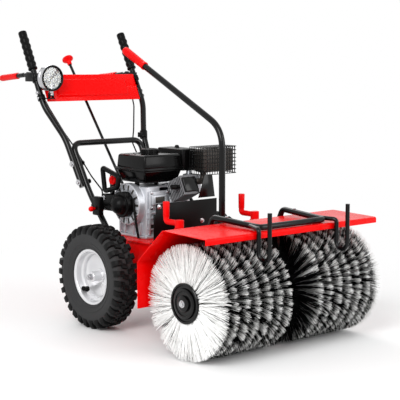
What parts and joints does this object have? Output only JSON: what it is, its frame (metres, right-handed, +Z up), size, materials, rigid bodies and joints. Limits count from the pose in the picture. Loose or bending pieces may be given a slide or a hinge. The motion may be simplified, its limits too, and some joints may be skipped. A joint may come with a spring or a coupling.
{
  "type": "power brush sweeper",
  "caption": "Petrol walk-behind power sweeper: bristle brush under a red swinging hood, block-tread drive wheels, engine, control handles, height castors and container hooks.",
  "frame": {"origin": "on the ground, in the middle of the machine", "axes": "+Z up, the brush towards -Y, +X the operator's left"},
  "size_m": [0.876, 1.606, 1.1764],
  "materials": {
    "red_paint": "gloss",
    "black_paint": "satin",
    "black_plastic": "satin",
    "black_rubber": "matte",
    "red_plastic": "gloss",
    "cast_alloy": "cast",
    "steel": "satin",
    "muffler_steel": "matte",
    "rim_silver": "satin",
    "tyre_rubber": "matte",
    "bristle": "matte",
    "lamp_shell": "satin",
    "lamp_glass": "clear"
  },
  "bodies": {
    "chassis": {"chassis_frame": "red_paint", "engine_guard": "black_paint", "transmission_case": "cast_alloy", "axle_bearings": "steel", "swing_pins": "steel", "lower_handle": "black_paint", "upper_handles": "black_paint", "handle_grips": "black_rubber", "frame_bolts": "steel", "control_panel": "red_paint", "handle_brackets": "black_paint", "crankcase": "cast_alloy", "cylinder_block": "cast_alloy", "fuel_tank": "black_paint", "muffler": "muffler_steel", "muffler_guard": "black_paint", "air_cleaner": "black_plastic", "carburettor": "cast_alloy", "recoil_cover": "black_plastic", "spark_plug": "black_plastic", "switch_box": "black_plastic", "throttle_cable": "black_rubber", "clutch_cable": "black_rubber", "drive_belt": "black_rubber"},
    "drive_axle": {"axle_shaft": "steel", "right_tyre": "tyre_rubber", "left_tyre": "tyre_rubber", "wheel_rims": "rim_silver"},
    "engine_crank": {"crankshaft": "steel"},
    "gearbox_input": {"input_pulley": "steel"},
    "gearbox_output": {"output_shaft": "steel", "flexible_coupling": "black_rubber"},
    "brush_unit": {"brush_hood": "red_paint", "swing_frame": "black_paint", "brush_gear_case": "cast_alloy", "container_hooks": "black_paint", "swing_lever": "black_paint", "swing_lever_grip": "red_plastic"},
    "brush_drive": {"drive_shaft": "steel"},
    "brush_rotor": {"brush_shaft": "steel", "right_brush": "bristle", "left_brush": "bristle", "end_plates": "black_paint"},
    "right_leg": {"right_castor_leg": "steel"},
    "left_leg": {"left_castor_leg": "steel"},
    "right_fork": {"right_castor_fork": "steel"},
    "left_fork": {"left_castor_fork": "steel"},
    "right_roller": {"right_castor_wheel": "black_rubber"},
    "left_roller": {"left_castor_wheel": "black_rubber"},
    "right_crank": {"right_height_crank": "red_paint"},
    "left_crank": {"left_height_crank": "red_paint"},
    "right_clutch": {"right_clutch_lever": "red_plastic"},
    "left_clutch": {"left_clutch_lever": "red_plastic"},
    "gear_selector": {"gear_lever": "black_paint"},
    "lamp": {"headlight": "lamp_shell", "lamp_lens": "lamp_glass"},
    "filler_cap": {"fuel_cap": "black_plastic"},
    "pull_handle": {"recoil_handle": "black_plastic"},
    "ignition": {"engine_switch": "red_plastic"},
    "stop_switch": {"stop_button": "red_plastic"}
  },
  "joints": [
    {"name": "wheel_drive", "type": "hinge", "parent": "chassis", "child": "drive_axle", "pos_m": [0, 0.06198, 0.20466], "axis": [1, 0, 0], "continuous": true},
    {"name": "crank_spin", "type": "hinge", "parent": "chassis", "child": "engine_crank", "pos_m": [0, 0.09998, 0.472], "axis": [1, 0, 0], "continuous": true},
    {"name": "input_spin", "type": "hinge", "parent": "chassis", "child": "gearbox_input", "pos_m": [0, -0.04302, 0.292], "axis": [1, 0, 0], "continuous": true},
    {"name": "output_spin", "type": "hinge", "parent": "chassis", "child": "gearbox_output", "pos_m": [0, -0.26802, 0.26], "axis": [0, 1, 0], "continuous": true},
    {"name": "brush_swing", "type": "hinge", "parent": "chassis", "child": "brush_unit", "pos_m": [0, -0.26802, 0.26], "axis": [0, 0, 1], "range_deg": [-15, 15]},
    {"name": "drive_shaft_spin", "type": "hinge", "parent": "brush_unit", "child": "brush_drive", "pos_m": [0, -0.58702, 0.26], "axis": [0, 1, 0], "continuous": true},
    {"name": "brush_spin", "type": "hinge", "parent": "brush_unit", "child": "brush_rotor", "pos_m": [0, -0.58702, 0.21], "axis": [1, 0, 0], "continuous": true},
    {"name": "right_crank_turn", "type": "hinge", "parent": "brush_unit", "child": "right_crank", "pos_m": [-0.196, -0.31402, 0.437], "axis": [0, 0, 1], "range_deg": [-360, 360]},
    {"name": "right_castor_height", "type": "slide", "parent": "brush_unit", "child": "right_leg", "axis": [0, 0, 1], "range_m": [-0.012, 0.012]},
    {"name": "right_castor_swivel", "type": "hinge", "parent": "right_leg", "child": "right_fork", "pos_m": [-0.196, -0.31402, 0.12], "axis": [0, 0, 1], "continuous": true},
    {"name": "right_castor_roll", "type": "hinge", "parent": "right_fork", "child": "right_roller", "pos_m": [-0.196, -0.28402, 0.045], "axis": [1, 0, 0], "continuous": true},
    {"name": "left_crank_turn", "type": "hinge", "parent": "brush_unit", "child": "left_crank", "pos_m": [0.196, -0.31402, 0.437], "axis": [0, 0, 1], "range_deg": [-360, 360]},
    {"name": "left_castor_height", "type": "slide", "parent": "brush_unit", "child": "left_leg", "axis": [0, 0, 1], "range_m": [-0.012, 0.012]},
    {"name": "left_castor_swivel", "type": "hinge", "parent": "left_leg", "child": "left_fork", "pos_m": [0.196, -0.31402, 0.12], "axis": [0, 0, 1], "continuous": true},
    {"name": "left_castor_roll", "type": "hinge", "parent": "left_fork", "child": "left_roller", "pos_m": [0.196, -0.28402, 0.045], "axis": [1, 0, 0], "continuous": true},
    {"name": "right_clutch_squeeze", "type": "hinge", "parent": "chassis", "child": "right_clutch", "pos_m": [-0.26273, 0.58498, 0.99], "axis": [1, 0, 0], "range_deg": [0, 35], "stiffness_Nm_per_rad": 2, "springref_deg": -20.05},
    {"name": "left_clutch_squeeze", "type": "hinge", "parent": "chassis", "child": "left_clutch", "pos_m": [0.26273, 0.58498, 0.99], "axis": [1, 0, 0], "range_deg": [0, 35], "stiffness_Nm_per_rad": 2, "springref_deg": -20.05},
    {"name": "gear_shift", "type": "hinge", "parent": "chassis", "child": "gear_selector", "pos_m": [0.03, 0.19998, 0.362], "axis": [1, 0, 0], "range_deg": [-3, 3]},
    {"name": "lamp_tilt", "type": "hinge", "parent": "chassis", "child": "lamp", "pos_m": [-0.237, 0.45798, 0.907], "axis": [1, 0, 0], "range_deg": [-6, 12]},
    {"name": "cap_turn", "type": "hinge", "parent": "chassis", "child": "filler_cap", "pos_m": [-0.028, 0.06798, 0.68], "axis": [0, 0, 1], "range_deg": [0, 90]},
    {"name": "recoil_pull", "type": "slide", "parent": "chassis", "child": "pull_handle", "axis": [-1, 0, 0], "range_m": [0, 0.4], "stiffness_N_per_m": 25, "springref_m": -0.2},
    {"name": "ignition_turn", "type": "hinge", "parent": "chassis", "child": "ignition", "pos_m": [-0.12, 0.19398, 0.562], "axis": [1, 0, 0], "range_deg": [0, 60]},
    {"name": "stop_press", "type": "slide", "parent": "chassis", "child": "stop_switch", "axis": [1, 0, 0], "range_m": [0, 0.0035], "stiffness_N_per_m": 800, "springref_m": -0.002}
  ],
  "couplings": [
    {"joint": "input_spin", "follows": "crank_spin", "ratio": 0.63333},
    {"joint": "output_spin", "follows": "brush_spin", "ratio": 6},
    {"joint": "drive_shaft_spin", "follows": "brush_spin", "ratio": 6},
    {"joint": "right_castor_height", "follows": "right_crank_turn", "m_per_rad": 0.0019},
    {"joint": "left_castor_height", "follows": "left_crank_turn", "m_per_rad": 0.0019}
  ]
}
